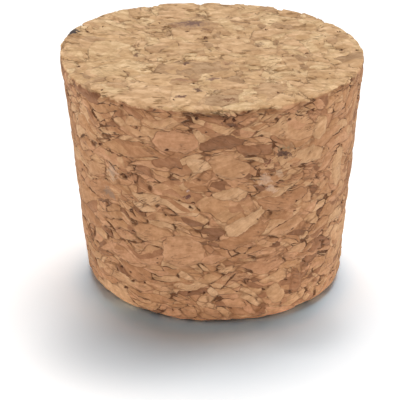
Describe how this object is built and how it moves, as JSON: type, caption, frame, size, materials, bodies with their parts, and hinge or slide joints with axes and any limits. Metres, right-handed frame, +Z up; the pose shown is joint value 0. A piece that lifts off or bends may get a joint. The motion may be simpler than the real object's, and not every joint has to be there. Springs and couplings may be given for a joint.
{
  "type": "cork stopper",
  "caption": "Tapered round stopper pressed from cork granules, solid, standing on its narrow end.",
  "frame": {"origin": "centre of the narrow end face, on the surface the stopper stands on", "axes": "+Z up the stopper's axis, from the narrow end to the wide end; it is round, so X and Y are alike"},
  "size_m": [0.038, 0.038, 0.03],
  "materials": {
    "cork": "matt agglomerated cork, sanded"
  },
  "bodies": {
    "root": {"stopper": "cork"}
  },
  "joints": []
}
